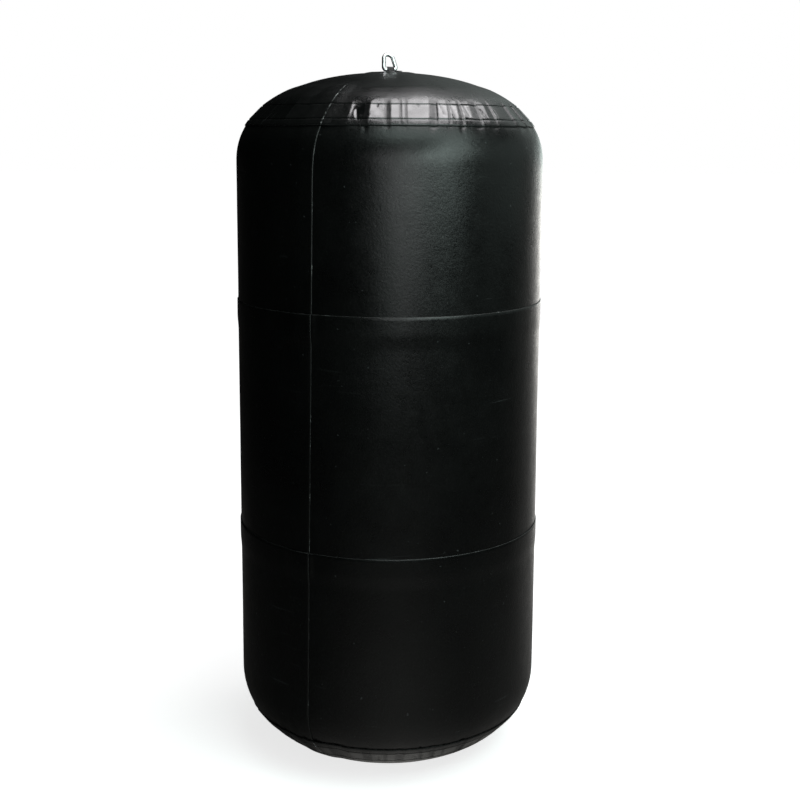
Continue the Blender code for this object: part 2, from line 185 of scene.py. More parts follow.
def dome_place(angle, top):
    """(radius, height, outward radius, outward height) on a rounded end, by the angle from its crown."""
    radius = RADIUS * sin(angle) ** (2 / DOME_POWER)
    rise = DOME_HEIGHT * max(cos(angle), 0) ** (2 / DOME_POWER)
    out_radius = radius ** (DOME_POWER - 1) / RADIUS**DOME_POWER
    out_height = rise ** (DOME_POWER - 1) / DOME_HEIGHT**DOME_POWER
    length = hypot(out_radius, out_height)
    if top:
        return radius, HEIGHT - DOME_HEIGHT + rise, out_radius / length, out_height / length
    return radius, lower_rim_height() - rise, out_radius / length, -out_height / length


def outline_places():
    """The outline from the top crown to the bottom one, closely spaced."""
    quarter = pi / 2
    places = [dome_place(quarter * k / 600, True) for k in range(600)]
    top, low = HEIGHT - DOME_HEIGHT, lower_rim_height()
    places += [(RADIUS, top + (low - top) * k / 200, 1.0, 0.0) for k in range(201)]
    flat_edge = angle_at_radius(FLAT_SPOT_RADIUS)
    places += [dome_place(quarter + (flat_edge - quarter) * k / 500, False) for k in range(1, 501)]
    places += [(FLAT_SPOT_RADIUS * (1 - k / 40), 0.0, 0.0, -1.0) for k in range(1, 41)]
    return places


OUTLINE = outline_places()
DISTANCES = [0.0]
for before, after in zip(OUTLINE, OUTLINE[1:]):
    DISTANCES.append(DISTANCES[-1] + hypot(after[0] - before[0], after[1] - before[1]))
WHOLE = DISTANCES[-1]


def outline_at(distance):
    """The place on the outline at a distance along it from the top crown."""
    k = min(max(bisect_right(DISTANCES, distance) - 1, 0), len(OUTLINE) - 2)
    part = (distance - DISTANCES[k]) / (DISTANCES[k + 1] - DISTANCES[k])
    return tuple(a + (b - a) * part for a, b in zip(OUTLINE[k], OUTLINE[k + 1]))


def distance_at_height(height):
    """The distance along the outline to a height."""
    k = next(k for k, place in enumerate(OUTLINE) if k and place[1] <= height + 1e-9)
    above, below = OUTLINE[k - 1][1], OUTLINE[k][1]
    return DISTANCES[k - 1] + (DISTANCES[k] - DISTANCES[k - 1]) * (above - height) / (above - below)


class WeldBand:
    """The weld that joins an end disc to the gathered wall: two pressed lines with pads between them.

    Every place on it is given by its reach, the distance along the outline from that end's crown.
    """

    def __init__(self, reaches, pads, folds, last_pad, shine, seed):
        """reaches: the wall's hidden edge, the high and low weld lines, and the disc's edge.

        pads and folds are those measured at the front; the others are drawn, up to last_pad degrees round.
        """
        self.wall_edge, self.high, self.low, self.disc_edge = reaches
        self.shine = shine
        draw = Random(seed)
        self.pads = list(pads)
        place = pads[-1][1] + 2 if pads else FIRST_PAD
        while place < FIRST_PAD + last_pad:
            width = draw.uniform(2.6, 8.5)
            self.pads.append((place, place + width))
            place += width + draw.choice((0.8, 1.2, 2.2, 3.6))
        self.starts = [start for start, _ in self.pads]
        self.tilt = [draw.uniform(-1, 1) for _ in self.pads]
        self.hollow = [draw.uniform(0.7, 1.4) for _ in self.pads]
        self.gather = [draw.uniform(0.2, 1) for _ in self.pads]
        if pads:
            for k, shape in enumerate(FIRST_PAD_SHAPES):
                self.hollow[k], self.tilt[k] = shape
        self.folds = list(folds)
        for start, end in self.pads[len(pads):]:
            if draw.random() < 0.6:
                low_end = draw.uniform(0.2, 1)
                middle, lean = draw.uniform(start + 0.6, end - 0.6), draw.uniform(-1.5, 1.5)
                self.folds.append((middle, lean, -1.0, low_end))
        self.folds.sort()
        self.fold_places = [fold[0] for fold in self.folds]

    def pucker(self, azimuth, reach):
        """(relief in metres, pressed, gather, degrees to the right) at a place.

        The pads on the right half of the front lean off the meridian.
        """
        turned = (degrees(azimuth) - FIRST_PAD) % 360 + FIRST_PAD
        turned += PAD_LEAN * self.across_band(reach) * smoothed(turned / 16) * smoothed((100 - turned) / 30)
        k = max(0, bisect_right(self.starts, turned) - 1)
        start, end = self.pads[k]
        if turned < end:
            # A pad is pressed flatter than the round wall, so its middle lies deeper than its sides
            half = (end - start) / 2
            t = (turned - start - half) / half
            sag = BAND_RADIUS * radians(half) ** 2 / 2
            side = min(turned - start, end - turned) / PAD_SIDE
            relief = -sag * self.hollow[k] * (1 - t * t) + PAD_TILT * self.tilt[k] * t
            return relief, smoothed(side), 0.0, turned
        # A gap is a V-shaped fold that joins the levels of the two pads beside it. It is deepest near its
        # left side at the left of the front, near its right side at the right, and in its middle at the back
        following = self.pads[k + 1][0] if k + 1 < len(self.pads) else FIRST_PAD + 360
        gap = following - end
        t = 2 * (turned - end) / gap - 1
        depth = min(DEEPEST_GAP, GAP_SLOPE * radians(gap) * BAND_RADIUS) * (1 - smoothed((4 - turned) / 10))
        bottom = 1.4 * smoothed((turned + 2) / 24) - 0.7 if turned < 100 else 0.0
        fold = (1 + t) / (1 + bottom) if t < bottom else (1 - t) / (1 - bottom)
        before, after = self.tilt[k], -self.tilt[(k + 1) % len(self.tilt)]
        level = PAD_TILT * (before + (after - before) * (t + 1) / 2)
        return level - depth * fold, 0.0, self.gather[k] * (1 - t * t), turned

    def along(self, reach):
        """How much of the puckering shows."""
        if reach < self.high:
            return smoothed(1 - (self.high - reach) / 0.014)
        if reach < self.low:
            return 1.0
        return 0.8 - 0.35 * smoothed((reach - self.low) / (self.disc_edge - self.low))

    def across_band(self, reach):
        """-1 at the high line, 1 at the low one."""
        return 2 * (reach - self.high) / (self.low - self.high) - 1

    def flattened(self, reach):
        """The band is stiff, so it is straight between its lines."""
        u = self.across_band(reach)
        return -BAND_SAG * (1 - u * u) if -1 < u < 1 else 0.0

    def folded(self, turned, reach):
        """How deep the short folds are that run down across the pads, as a share of FOLD_DEPTH."""
        u = self.across_band(reach)
        depth = 0.0
        first = bisect_right(self.fold_places, turned - 3)
        last = bisect_right(self.fold_places, turned + 3)
        for place, lean, upper, lower in self.folds[first:last]:
            if upper - 0.15 < u < lower + 0.15:
                middle = place + lean * (u - (upper + lower) / 2)
                fade = smoothed((u - upper + 0.15) / 0.3) * smoothed((lower + 0.15 - u) / 0.3)
                depth += ridge(turned - middle, FOLD_WIDTH) * fade
        return depth

    def lines(self, reach):
        """How deep the two pressed lines are, as a share of LINE_DEPTH."""
        return ridge(reach - self.high, 0.0013) * 1.5 + ridge(reach - self.low, 0.0014) * 1.6

    def gloss(self, pad, reach):
        """Pressed gloss: on the pads, on the strip above the high line and faintly on the free edge."""
        above = self.high - reach
        if above > 0:
            strip = pad + (1 - pad) * smoothed((above - 0.010) / 0.014)
            return 0.5 * strip * smoothed((STRIP_WIDTH - above) / 0.028)
        return pad if reach < self.low else 0.3 * pad


def upright_edge_azimuth(distance):
    """The upright seam leans a little all the way up, as in the photo."""
    straight = SEAM_SHIFT + SEAM_LEAN * (0.69 - distance)
    return UPRIGHT_EDGE_AZIMUTH + radians(straight + SHOULDER_LEAN * smoothed((0.42 - distance) / 0.2))


def weld_reaches(crown_height, down):
    """Reaches of the four marks on one end; down is 1 on the upper end and -1 on the lower one."""
    marks = [distance_at_height(crown_height - down * drop)
             for drop in (WALL_EDGE_DROP, HIGH_WELD_DROP, LOW_WELD_DROP, DISC_EDGE_DROP)]
    return marks if down == 1 else [WHOLE - mark for mark in marks]


TOP_WELD = WeldBand(weld_reaches(HEIGHT, 1), FRONT_PADS, FRONT_FOLDS, last_pad=325, shine=1.0, seed=5)
BOTTOM_WELD = WeldBand(weld_reaches(lower_rim_height() - DOME_HEIGHT, -1), (), (), last_pad=350, shine=0.45,
                       seed=11)

# Distances from the top crown down to the edges of the sheets
UPPER_GIRTH = distance_at_height(UPPER_GIRTH_EDGE)
LOWER_GIRTH = distance_at_height(LOWER_GIRTH_EDGE)
FIRST_WALL_EDGE = TOP_WELD.wall_edge
LAST_WALL_EDGE = WHOLE - BOTTOM_WELD.wall_edge
TOP_DISC_EDGE = TOP_WELD.disc_edge
BOTTOM_DISC_EDGE = WHOLE - BOTTOM_WELD.disc_edge


def outer_ply(turn):
    """1 on the upright lap's outer ply, falling to 0 past its hidden end."""
    return smoothed((LAP_ANGLE + HIDDEN_RAMP_ANGLE - turn) / HIDDEN_RAMP_ANGLE)


def over_upright_lap(turn, ramp):
    """1 over the upright lap, falling to 0 past its hidden end and over a ramp beside its cut edge."""
    turn = turn % WHOLE_TURN
    if turn > pi:
        return smoothed((turn - WHOLE_TURN + ramp) / ramp)
    return outer_ply(turn)


def slack(azimuth, height):
    """The slight unevenness of inflated cloth, in metres."""
    around = Vector((3.2 * sin(azimuth), -3.2 * cos(azimuth), height * 5))
    relief = 0.00050 * noise.noise(around) + 0.00015 * noise.noise(around * 3.3)
    crease_height, first, last, depth = CREASE
    if abs(height - crease_height) < 0.015:
        turned = degrees(azimuth)
        ends = smoothed((turned - first) / 6) * smoothed((last - turned) / 6)
        relief -= depth * ridge(height - crease_height, 0.0028) * ends
    return relief * smoothed(height / 0.04)


def spaced(*stretches):
    """Marks along (start, step) stretches. The last stretch is only the end of the run."""
    marks = []
    for (start, step), (end, _) in zip(stretches, stretches[1:]):
        count = max(1, ceil(abs(end - start) / step - 1e-6))
        marks += [start + (end - start) * k / count for k in range(count)]
    return marks + [stretches[-1][0]]


def cut_edge_drop(inset):
    """How far the outer face has dropped at a distance in from a cut edge."""
    for (near, near_drop), (far, far_drop) in zip(CUT_EDGE, CUT_EDGE[1:]):
        if inset <= far:
            return near_drop + (far_drop - near_drop) * max(0, inset - near) / (far - near)
    return 0.0


def add_to_scene(name, bm):
    """Makes a bmesh an object at the origin, shaded smooth."""
    for face in bm.faces:
        face.smooth = True
    mesh = bpy.data.meshes.new(name)
    bm.to_mesh(mesh)
    bm.free()
    piece = bpy.data.objects.new(name, mesh)
    bpy.context.scene.collection.objects.link(piece)
    return piece


# Cloth
def cut_valve_hole(bm):
    """Cuts the hole that the valve's barrel goes through; its ragged edge is under the flange."""
    to_valve = valve_place().inverted()
    inside = []
    for vertex in bm.verts:
        local = to_valve @ vertex.co
        if abs(local.z) < 0.02 and hypot(local.x, local.y) < BARREL_RADIUS + CLEARANCE:
            inside.append(vertex)
    bmesh.ops.delete(bm, geom=inside, context="VERTS")


def lay_cloth(name, turns, distances, place, flat_round=False):
    """A sheet of cloth on the outline, as thick as the fabric and thinner along its cut edges.

    turns go round from the upright seam and distances down from the crown. place gives, for a turn, azimuth,
    distance and height, the outer face's lift, its drop at a cut edge, and the marks for pressed cloth, raw
    edges, and pale threads together with a painted highlight.
    """
    columns, rows = len(turns), len(distances)
    outline = [outline_at(distance) for distance in distances]
    bm = bmesh.new()
    pressed_mark = bm.verts.layers.float.new("pressed")
    raw_mark = bm.verts.layers.float.new("raw_edge")
    pale_mark = bm.verts.layers.float.new("pale")
    thickness_mark = bm.verts.layers.deform.verify()
    bmesh.ops.create_grid(bm, x_segments=columns - 1, y_segments=rows - 1, size=1)
    flat_places = []
    for vertex in bm.verts:
        turn = turns[round((vertex.co.x + 1) / 2 * (columns - 1))]
        row = round((vertex.co.y + 1) / 2 * (rows - 1))
        distance = distances[row]
        radius, height, out_radius, out_height = outline[row]
        azimuth = upright_edge_azimuth(distance) - turn
        lift, drop, pressed, raw, pale = place(turn, azimuth, distance, height)
        radius += out_radius * (lift - drop)
        vertex.co = (radius * sin(azimuth), -radius * cos(azimuth), height + out_height * (lift - drop))
        vertex[pressed_mark] = pressed
        vertex[raw_mark] = raw
        vertex[pale_mark] = pale
        vertex[thickness_mark][0] = max(0.08, 1 - drop / FABRIC)
        if flat_round:
            reach = min(distance, WHOLE - distance)
            flat_places.append((reach * sin(azimuth), reach * cos(azimuth)))
        else:
            flat_places.append((turn * RADIUS, distance))
    cloth_map = bm.loops.layers.uv.new("cloth")
    bm.verts.index_update()
    for face in bm.faces:
        for loop in face.loops:
            loop[cloth_map].uv = flat_places[loop.vert.index]
    bmesh.ops.remove_doubles(bm, verts=bm.verts, dist=CLEARANCE / 30)
    bm.normal_update()
    middle = Vector((0, 0, HEIGHT / 2))
    if sum((face.calc_center_median() - middle).dot(face.normal) * face.calc_area() for face in bm.faces) < 0:
        bmesh.ops.reverse_faces(bm, faces=bm.faces)
    if flat_round and distances[-1] > VALVE_RADIUS and distances[0] == 0:
        cut_valve_hole(bm)
    sheet = add_to_scene(name, bm)
    group = sheet.vertex_groups.new(name="thickness")
    thickness = sheet.modifiers.new("fabric thickness", "SOLIDIFY")
    thickness.thickness = FABRIC
    thickness.offset = -1
    thickness.vertex_group = group.name
    thickness.thickness_vertex_group = 0.0
    return sheet


def wall_turns(count):
    """Turn angles of a rolled wall sheet, close together at its two upright edges."""
    edge = [inset / RADIUS for inset, _ in CUT_EDGE]
    main = spaced((edge[-1], WHOLE_TURN / count), (WHOLE_TURN - 2 * EDGE_RAMP_ANGLE, 0.006),
                  (WHOLE_TURN, 0.02), (WHOLE_TURN + LAP_ANGLE, 0))
    return edge[:-1] + main


def lapped_rows(edge, following):
    """Rows of a wall sheet whose top laps over the sheet above."""
    cut = [edge + inset for inset, _ in CUT_EDGE[:-1]]
    lap = edge + GIRTH_LAP
    below = (lap + HIDDEN_EDGE_RAMP, 0.010)
    return cut + spaced((edge + CUT_EDGE_WIDTH, 0.006), (lap, 0.004), below, *following)


def disc_turns(count, front_step):
    """Turn angles of a whole disc, closer at the front and where it rides over the wall's upright edge."""
    return spaced((0, 0.0022), (0.010, WHOLE_TURN / count), (FRONT_TURN, front_step),
                  (WHOLE_TURN - 0.02, 0.0025), (WHOLE_TURN, 0))


def make_wall_sheet(name, top_edge, distances, columns):
    """A rolled wall sheet, whose top edge laps over the sheet above; the upper one goes under the disc."""
    def place(turn, azimuth, distance, height):
        plies, inset = 0.0, turn * RADIUS
        if top_edge is not None:
            plies = smoothed((top_edge + GIRTH_LAP + HIDDEN_EDGE_RAMP - distance) / HIDDEN_EDGE_RAMP)
            inset = min(inset, distance - top_edge)
        drop = cut_edge_drop(inset)
        frayed = noise.noise(Vector((sin(azimuth), cos(azimuth), 4 * height)) * 22)
        raw = 1.0 if inset < RAW_WIDTH else 0.0
        pale = raw * WALL_EDGE_PALENESS * (1 + 12 * smoothed(3 * frayed - 0.8))
        lap = over_upright_lap(turn, EDGE_RAMP_ANGLE)
        lift = (plies * (1 + lap) + outer_ply(turn)) * PLY + slack(azimuth, height)
        for weld, reach in ((TOP_WELD, distance), (BOTTOM_WELD, WHOLE - distance)):
            below = reach - weld.disc_edge
            if below > 0.03:
                continue
            relief, _, gather, _ = weld.pucker(azimuth, reach)
            if below < 0:
                tuck = TUCK_DEPTH * smoothed(-below / 0.02)
                lift += relief * weld.along(reach) + weld.flattened(reach) - tuck
            else:
                lift += relief * 0.45 * smoothed(1 - below / 0.008)
                lift -= GATHER_DEPTH * gather * smoothed(1 - below / GATHER_LENGTH)
        return lift, drop, 0.0, raw, pale

    return lay_cloth(name, wall_turns(columns), distances, place)


def make_end_disc(name, weld, top, columns, front_step):
    """An end disc with its pressed weld band, a free edge, and the wall's upright lap showing through, with a
    painted highlight along the ridge over it.
    """
    free = weld.disc_edge
    marks = spaced(
        (0.0, 0.010), (VALVE_RADIUS - 0.018, 0.004), (VALVE_RADIUS + 0.018, 0.008),
        (weld.wall_edge - 0.02, 0.005), (weld.high - 0.004, 0.0011), (weld.high + 0.003, 0.003),
        (weld.low - 0.003, 0.0011), (weld.low + 0.003, 0.002), (free - CUT_EDGE_WIDTH, 1),
    )
    marks += [free - inset for inset, _ in reversed(CUT_EDGE[:-1])]

    def place(turn, azimuth, distance, height):
        reach = distance if top else WHOLE - distance
        plies = smoothed((reach - weld.wall_edge + HIDDEN_EDGE_RAMP) / HIDDEN_EDGE_RAMP)
        lift = plies * (1 + over_upright_lap(turn, HIDDEN_RAMP_ANGLE)) * PLY + slack(azimuth, height)
        # Painted highlight: a pale dotted line painted along the ridge where the disc rides over the wall's
        # hidden upright edge
        dotted = 0.25 + 0.9 * smoothed(0.45 + 1.8 * noise.noise(Vector((0, 0, 95 * reach))))
        ridge_highlight = ridge(min(turn, WHOLE_TURN - turn) * RADIUS, 0.0010) * smoothed(2 * plies - 0.6) * dotted
        if reach < weld.high - 0.03:
            return lift, 0.0, 0.0, 0.3 * ridge_highlight, ridge_highlight
        relief, pad, gather, turned = weld.pucker(azimuth, reach)
        fold = weld.folded(turned, reach)
        lift += relief * weld.along(reach) + weld.flattened(reach)
        lift -= LINE_DEPTH * weld.lines(reach) + FOLD_DEPTH * fold
        around = Vector((sin(azimuth), cos(azimuth), 0)) * BAND_RADIUS + Vector((0, 0, reach))
        lift += (0.00010 * noise.noise(around * 130) + 0.00030 * noise.noise(around * 38)) * weld.along(reach)
        flap = smoothed((reach - weld.low) / (free - weld.low))
        lift += flap * 0.00025 * max(0.0, 1 - 2 * gather)
        drop = cut_edge_drop(free - reach)
        uneven = 0.86 + 0.45 * noise.noise(around * 60)
        pressed = min(1.0, weld.shine * weld.gloss(pad, reach) * uneven * (1 - 0.7 * min(1, fold)))
        raw = 1.0 if drop > 0.0002 else 0.3 * ridge_highlight
        return lift, drop, pressed, raw, max(0.02 * raw, ridge_highlight)

    distances = marks if top else [WHOLE - mark for mark in marks]
    return lay_cloth(name, disc_turns(columns, front_step), distances, place, flat_round=True)


def make_patch():
    """The round patch welded on the crown, thinned towards its edge, with a pressed ring inside it."""
    marks = spaced((0.0, 0.004), (PATCH_RADIUS - 0.010, 0.001), (PATCH_RADIUS - CUT_EDGE_WIDTH, 1))
    marks += [PATCH_RADIUS - inset for inset, _ in reversed(CUT_EDGE[:-1])]

    def place(turn, azimuth, distance, height):
        weld_line = ridge(distance - PATCH_RADIUS + 0.007, 0.0014)
        inset = PATCH_RADIUS - distance
        drop = min(0.0014, 0.0010 * smoothed(1 - inset / 0.009) + 0.4 * cut_edge_drop(inset))
        lift = PLY + slack(azimuth, height) - 0.0004 * weld_line
        return lift, drop, 0.5 * weld_line, 0.5 if drop > 0.0011 else 0.0, 0.0

    return lay_cloth("crown_patch", spaced((0, 0.065), (WHOLE_TURN, 0)), marks, place, flat_round=True)


# Ring, strap and valve
def ring_outline(steps):
    """The middle line of the ring's wire: a straight bar, rounded corners, leaning legs and a round top."""
    top_radius = (RING_TOP_WIDTH - RING_WIRE) / 2
    half_base = (RING_BASE_WIDTH - RING_WIRE) / 2
    top_centre = RING_HEIGHT - RING_WIRE - top_radius
    leg = atan2(half_base - top_radius, top_centre)
    corner_turn = pi / 2 + leg
    corner = Vector((half_base - RING_CORNER / tan((pi - corner_turn) / 2), RING_CORNER))
    right = [corner + RING_CORNER * Vector((sin(turn), -cos(turn)))
             for turn in (corner_turn * k / steps for k in range(steps + 1))]
    arch = [Vector((0, top_centre)) + top_radius * Vector((cos(turn), sin(turn)))
            for turn in (leg + (pi / 2 - leg) * k / steps for k in range(steps + 1))]
    half = right + arch
    return half + [Vector((-point.x, point.y)) for point in reversed(half[:-1])]


def ring_bar_height():
    """The height of the middle of the ring's straight bar, which lies on the patch."""
    return HEIGHT + PLY + CLEARANCE + RING_WIRE / 2


def make_ring():
    """The wire ring, standing on its bar in the strap."""
    turned = Matrix.Rotation(RING_YAW, 4, "Z") @ Matrix.Rotation(-RING_LEAN, 4, "X")
    place = Matrix.Translation((0, 0, ring_bar_height())) @ turned
    curve = bpy.data.curves.new("ring_wire", "CURVE")
    curve.dimensions = "3D"
    curve.bevel_depth = RING_WIRE / 2
    curve.bevel_resolution = 6
    spline = curve.splines.new("POLY")
    outline = ring_outline(20)
    spline.points.add(len(outline) - 1)
    for point, flat in zip(spline.points, outline):
        point.co = (*(place @ Vector((flat.x, 0, flat.y))), 1)
    spline.use_cyclic_u = True
    spline.use_smooth = True
    ring = bpy.data.objects.new("ring_wire", curve)
    bpy.context.scene.collection.objects.link(ring)
    return ring


def make_strap():
    """The strap over the ring's bar, with its two tails welded to the patch."""
    wrap = RING_WIRE / 2 + CLEARANCE
    side = STRAP_WRAP / 2
    steps = 14
    arc = [Vector((wrap * sin(turn), RING_WIRE / 2 + wrap * cos(turn)))
           for turn in (side * k / steps for k in range(steps + 1))]
    foot = arc[-1].x + arc[-1].y / tan(side)
    bend = [arc[-1].lerp(Vector((foot, 0)), 0.55), Vector((foot, 0.00045)), Vector((foot + 0.0022, 0.0001))]
    tail = [Vector((reach, 0)) for reach in spaced((foot + 0.0045, 0.0022), (STRAP_HALF_LENGTH, 0))]
    # The whole length of the strap, seen from the side, from the end of one tail to that of the other
    half = arc + bend + tail
    run = [Vector((-point.x, point.y)) for point in reversed(half[1:])] + half
    across = 10
    bm = bmesh.new()
    cloth_map = bm.loops.layers.uv.new("cloth")
    pressed_mark = bm.verts.layers.float.new("pressed")
    bmesh.ops.create_grid(bm, x_segments=len(run) - 1, y_segments=across, size=1)
    place = Matrix.Translation((0, 0, HEIGHT + PLY + CLEARANCE)) @ Matrix.Rotation(RING_YAW, 4, "Z")
    for face in bm.faces:
        for loop in face.loops:
            point = run[round((loop.vert.co.x + 1) / 2 * (len(run) - 1))]
            loop[cloth_map].uv = (loop.vert.co.y * STRAP_WIDTH / 2, point.x)
    for vertex in bm.verts:
        point = run[round((vertex.co.x + 1) / 2 * (len(run) - 1))]
        side_part = abs(vertex.co.y)
        tail_part = smoothed((abs(point.x) - foot - 0.003) / 0.004)
        end_line = ridge(abs(point.x) - STRAP_HALF_LENGTH + 0.003, 0.0012)
        weld_frame = max(ridge(side_part - 0.72, 0.12), end_line) * tail_part
        vertex[pressed_mark] = weld_frame
        rise = point.y - crown_drop(abs(point.x)) - 0.0003 * weld_frame
        vertex.co = place @ Vector((vertex.co.y * STRAP_WIDTH / 2, point.x, rise))
    bm.normal_update()
    if sum(face.normal.z for face in bm.faces) < 0:
        bmesh.ops.reverse_faces(bm, faces=bm.faces)
    strap = add_to_scene("ring_strap_cloth", bm)
    thickness = strap.modifiers.new("strap thickness", "SOLIDIFY")
    thickness.thickness = FABRIC
    thickness.offset = 1
    thickness.use_even_offset = True
    edge = strap.modifiers.new("soft edge", "BEVEL")
    edge.width = 0.0004
    edge.segments = 2
    edge.limit_method = "ANGLE"
    edge.angle_limit = radians(60)
    return strap


def valve_place():
    """The valve's place on the upper disc, with its axis square to the dome."""
    radius, height, out_radius, _ = dome_place(angle_at_radius(VALVE_RADIUS), True)
    spot = Vector((radius * sin(VALVE_AZIMUTH), -radius * cos(VALVE_AZIMUTH), height))
    turned = Matrix.Rotation(VALVE_AZIMUTH, 4, "Z") @ Matrix.Rotation(asin(out_radius), 4, "X")
    return Matrix.Translation(spot) @ turned


def turned_piece(profile, steps, closed):
    """A bmesh turned from the (radius, height) points of a profile, with its edges softened."""
    bm = bmesh.new()
    points = [bm.verts.new((radius, 0, height)) for radius, height in profile]
    pairs = list(zip(points, points[1:]))
    if closed:
        pairs.append((points[-1], points[0]))
    edges = [bm.edges.new(pair) for pair in pairs]
    bmesh.ops.spin(bm, geom=points + edges, cent=(0, 0, 0), axis=(0, 0, 1), dvec=(0, 0, 0), angle=WHOLE_TURN,
                   steps=steps, use_merge=True, use_duplicate=False)
    bmesh.ops.remove_doubles(bm, verts=bm.verts, dist=1e-6)
    bmesh.ops.recalc_face_normals(bm, faces=bm.faces)
    sharp = [edge for edge in bm.edges
             if len(edge.link_faces) == 2 and edge.calc_face_angle() > radians(40)]
    bmesh.ops.bevel(bm, geom=sharp, offset=0.0003, segments=2, affect="EDGES", profile=0.5, material=-1)
    return bm


def make_valve_flange():
    """Flange, neck and barrel, with a raised ring on the flange."""
    top = CLEARANCE + FLANGE_THICKNESS
    chamfer = FLANGE_THICKNESS / 2
    ring_radius = (FLANGE_RADIUS - chamfer + NECK_RADIUS + CAP_WALL) / 2 + 0.0008
    profile = [
        (NECK_RADIUS, NECK_HEIGHT), (NECK_RADIUS, top - 0.0004), (ring_radius - 0.0012, top - 0.0004),
        (ring_radius - 0.0006, top), (ring_radius + 0.0006, top), (ring_radius + 0.0012, top - 0.0004),
        (FLANGE_RADIUS - chamfer, top - 0.0004), (FLANGE_RADIUS, top - chamfer), (FLANGE_RADIUS, CLEARANCE),
        (BARREL_RADIUS, CLEARANCE), (BARREL_RADIUS, -BARREL_DEPTH), (BORE_RADIUS, -BARREL_DEPTH),
        (BORE_RADIUS, NECK_HEIGHT),
    ]
    bm = turned_piece(profile, 96, closed=True)
    bm.transform(valve_place())
    return add_to_scene("valve_flange", bm)


def make_valve_cap():
    """A ribbed cup over the neck with a bar across its top to turn it by."""
    inner = NECK_RADIUS + CLEARANCE
    outer = inner + CAP_WALL
    skirt = CLEARANCE + FLANGE_THICKNESS + CLEARANCE
    ceiling = CAP_TOP - CAP_WALL
    chamfer = CAP_WALL / 2
    dish = CAP_TOP - 0.0005
    profile = [
        (0, dish), (outer - 0.0030, dish), (outer - 0.0024, CAP_TOP), (outer - chamfer, CAP_TOP),
        (outer, CAP_TOP - chamfer), (outer, (skirt + CAP_TOP) / 2), (outer, skirt + 0.001), (outer, skirt),
        (inner, skirt), (inner, ceiling), (0, ceiling),
    ]
    bm = turned_piece(profile, 4 * CAP_RIBS, closed=False)
    for vertex in bm.verts:
        reach = hypot(vertex.co.x, vertex.co.y)
        if reach > outer - 0.0006 and skirt + 0.0007 < vertex.co.z < CAP_TOP - 0.0003:
            rib = 0.5 + 0.5 * cos(CAP_RIBS * atan2(vertex.co.y, vertex.co.x))
            scale = (reach - 0.0006 * (1 - rib)) / reach
            vertex.co.x *= scale
            vertex.co.y *= scale
    sunk = CAP_WALL / 2
    bar = bmesh.ops.create_cube(bm, size=1)["verts"]
    size = Vector((CAP_GRIP_LENGTH, CAP_GRIP_WIDTH, CAP_GRIP_HEIGHT + sunk))
    bmesh.ops.scale(bm, verts=bar, vec=size)
    bmesh.ops.translate(bm, verts=bar, vec=(0, 0, CAP_TOP + (CAP_GRIP_HEIGHT - sunk) / 2))
    edges = list({edge for vertex in bar for edge in vertex.link_edges})
    upright = [edge for edge in edges if abs((edge.verts[0].co - edge.verts[1].co).normalized().z) > 0.9]
    bmesh.ops.bevel(bm, geom=upright, offset=CAP_GRIP_WIDTH * 0.4, segments=6, affect="EDGES", profile=0.5,
                    material=-1)
    top = CAP_TOP + CAP_GRIP_HEIGHT
    rim = [edge for edge in bm.edges
           if all(abs(vertex.co.z - top) < 1e-6 for vertex in edge.verts)
           and len(edge.link_faces) == 2 and edge.calc_face_angle() > radians(60)]
    bmesh.ops.bevel(bm, geom=rim, offset=0.0009, segments=3, affect="EDGES", profile=0.5, material=-1)
    bm.transform(valve_place())
    return add_to_scene("valve_screw_cap", bm)


# Materials
class Wire:
    """A node's output with operators, so that shader maths reads as sums."""

    def __init__(self, finish, socket):
        self.finish = finish
        self.socket = socket

    def join(self, operation, first, second):
        return self.finish.node("ShaderNodeMath", {"operation": operation}, {0: first, 1: second})

    def __add__(self, other):
        return self.join("ADD", self, other)

    def __radd__(self, other):
        return self.join("ADD", other, self)

    def __sub__(self, other):
        return self.join("SUBTRACT", self, other)

    def __rsub__(self, other):
        return self.join("SUBTRACT", other, self)

    def __mul__(self, other):
        return self.join("MULTIPLY", self, other)

    def __rmul__(self, other):
        return self.join("MULTIPLY", other, self)


class Finish:
    """A material or the world while its nodes are being made."""

    def __init__(self, owner):
        self.owner = owner
        owner.use_nodes = True
        self.tree = owner.node_tree

    def node(self, kind, settings=None, inputs=None, output=0):
        """Adds a node of a type, with its settings first and then its sockets' values or links."""
        made = self.tree.nodes.new(kind)
        for name, value in (settings or {}).items():
            setattr(made, name, value)
        for key, value in (inputs or {}).items():
            self.feed(made.inputs[key], value)
        return Wire(self, made.outputs[output])

    def feed(self, socket, value):
        if isinstance(value, Wire):
            self.tree.links.new(value.socket, socket)
        else:
            socket.default_value = value

    def surface(self, **values):
        """Sets the surface shader's sockets by their names, with _ for spaces."""
        shader = self.tree.nodes["Principled BSDF"]
        for name, value in values.items():
            self.feed(shader.inputs[name.replace("_", " ")], value)
        return self.owner

    def mix(self, factor, first, second):
        return self.node("ShaderNodeMix", {"data_type": "RGBA"}, {0: factor, 6: first, 7: second}, 2)

    def place(self):
        return self.node("ShaderNodeTexCoord", None, None, "Object")

    def noise(self, place, scale, detail=2.0):
        return self.node("ShaderNodeTexNoise", None, {"Vector": place, "Scale": scale, "Detail": detail})

    def between(self, value, low, high, to_low=0.0, to_high=1.0):
        """Maps low..high to to_low..to_high, held at the ends."""
        return self.node("ShaderNodeMapRange", None, {0: value, 1: low, 2: high, 3: to_low, 4: to_high})

    def mark(self, name):
        return self.node("ShaderNodeAttribute", {"attribute_name": name}, None, "Fac")

    def part(self, vector, axis):
        return self.node("ShaderNodeSeparateXYZ", None, {0: vector}, axis)

    def sine(self, value):
        return self.node("ShaderNodeMath", {"operation": "SINE"}, {0: value})

    def bump(self, height, distance, strength, under=None):
        values = {"Height": height, "Distance": distance, "Strength": strength}
        if under is not None:
            values["Normal"] = under
        return self.node("ShaderNodeBump", None, values)


def new_finish(name):
    return Finish(bpy.data.materials.new(name))


